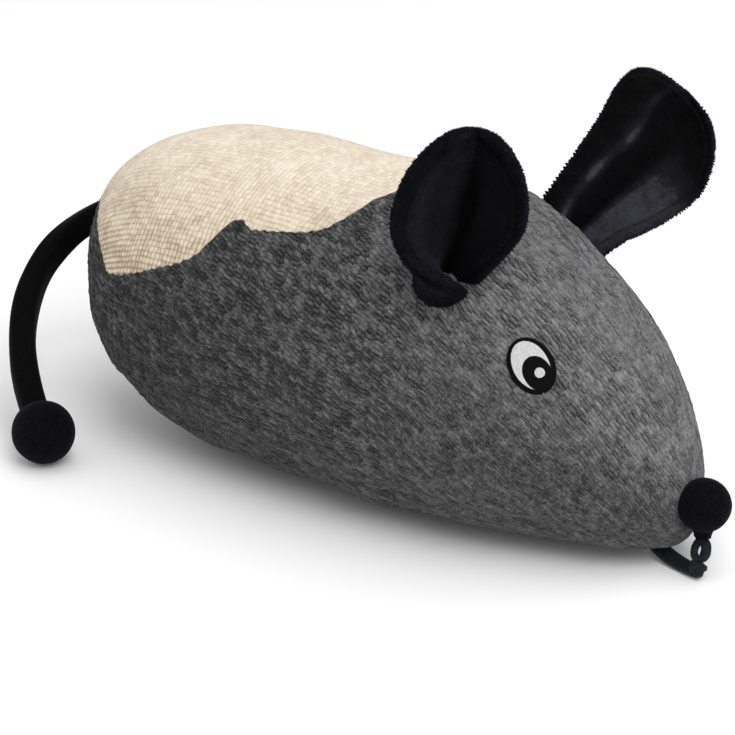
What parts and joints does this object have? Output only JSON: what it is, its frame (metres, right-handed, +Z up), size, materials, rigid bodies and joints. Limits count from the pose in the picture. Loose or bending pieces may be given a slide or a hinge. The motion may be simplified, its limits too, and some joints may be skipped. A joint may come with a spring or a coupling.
{
  "type": "catnip mouse",
  "caption": "Stuffed knitted cat toy shaped like a mouse, with plush ears and a curled tail ending in a ball, filled with fibre and a catnip sachet.",
  "frame": {"origin": "on the floor, in the flat underside of the belly, 80 mm in front of the rump", "axes": "+X towards the nose, +Y to the mouse's left, +Z up"},
  "size_m": [0.187, 0.1018, 0.0964],
  "materials": {
    "grey_knit": "marl knit",
    "cream_knit": "fine knit",
    "black_plush": "short plush",
    "black_lining": "short plush",
    "black_thread": "satin stitch",
    "white_thread": "satin stitch",
    "black_felt": "felt",
    "black_elastic": "woven elastic",
    "white_fibre": "loose fibre",
    "natural_cloth": "plain weave",
    "dried_leaf": "crushed leaf"
  },
  "bodies": {
    "body": {"side_panel_right": "grey_knit", "side_panel_left": "grey_knit", "belly_panel": "grey_knit", "back_panel": "cream_knit", "eye_right_rim": "black_thread", "eye_right_white": "white_thread", "eye_right_pupil": "black_thread", "eye_right_glint": "white_thread", "eye_left_rim": "black_thread", "eye_left_white": "white_thread", "eye_left_pupil": "black_thread", "eye_left_glint": "white_thread", "nose_ball": "black_felt", "nose_neck": "black_felt", "nose_shank": "black_thread", "fibre_filling": "white_fibre", "sachet_upper_cloth": "natural_cloth", "sachet_lower_cloth": "natural_cloth", "catnip_leaf": "dried_leaf"},
    "tail_knuckle": {"tail_root": "black_plush"},
    "tail": {"tail_cover": "black_plush", "tail_core": "natural_cloth", "tail_ball": "black_felt"},
    "right_ear": {"ear_right_back": "black_plush", "ear_right_lining": "black_lining"},
    "left_ear": {"ear_left_back": "black_plush", "ear_left_lining": "black_lining"},
    "chin_loop": {"chin_tape": "black_elastic", "loop_knot": "black_elastic", "nose_loop": "black_elastic"}
  },
  "joints": [
    {"name": "tail_swing", "type": "hinge", "parent": "body", "child": "tail_knuckle", "pos_m": [-0.0818, 0, 0.045], "axis": [0, 0, 1], "range_deg": [-45, 5], "stiffness_Nm_per_rad": 0.003},
    {"name": "tail_lift", "type": "hinge", "parent": "tail_knuckle", "child": "tail", "pos_m": [-0.0818, 0, 0.045], "axis": [0, 1, 0], "range_deg": [-8, 45], "stiffness_Nm_per_rad": 0.003},
    {"name": "right_ear_fold", "type": "hinge", "parent": "body", "child": "right_ear", "pos_m": [0.02961, -0.02283, 0.05959], "axis": [0.7698, 0.6193, -0.1548], "range_deg": [-20, 25], "stiffness_Nm_per_rad": 0.003},
    {"name": "left_ear_fold", "type": "hinge", "parent": "body", "child": "left_ear", "pos_m": [0.03213, 0.02154, 0.05927], "axis": [0.5409, 0.5146, -0.6653], "range_deg": [-20, 25], "stiffness_Nm_per_rad": 0.003},
    {"name": "loop_swing", "type": "hinge", "parent": "body", "child": "chin_loop", "pos_m": [0.0692, 0, 0.0017], "axis": [0, 1, 0], "range_deg": [0, 45]}
  ]
}
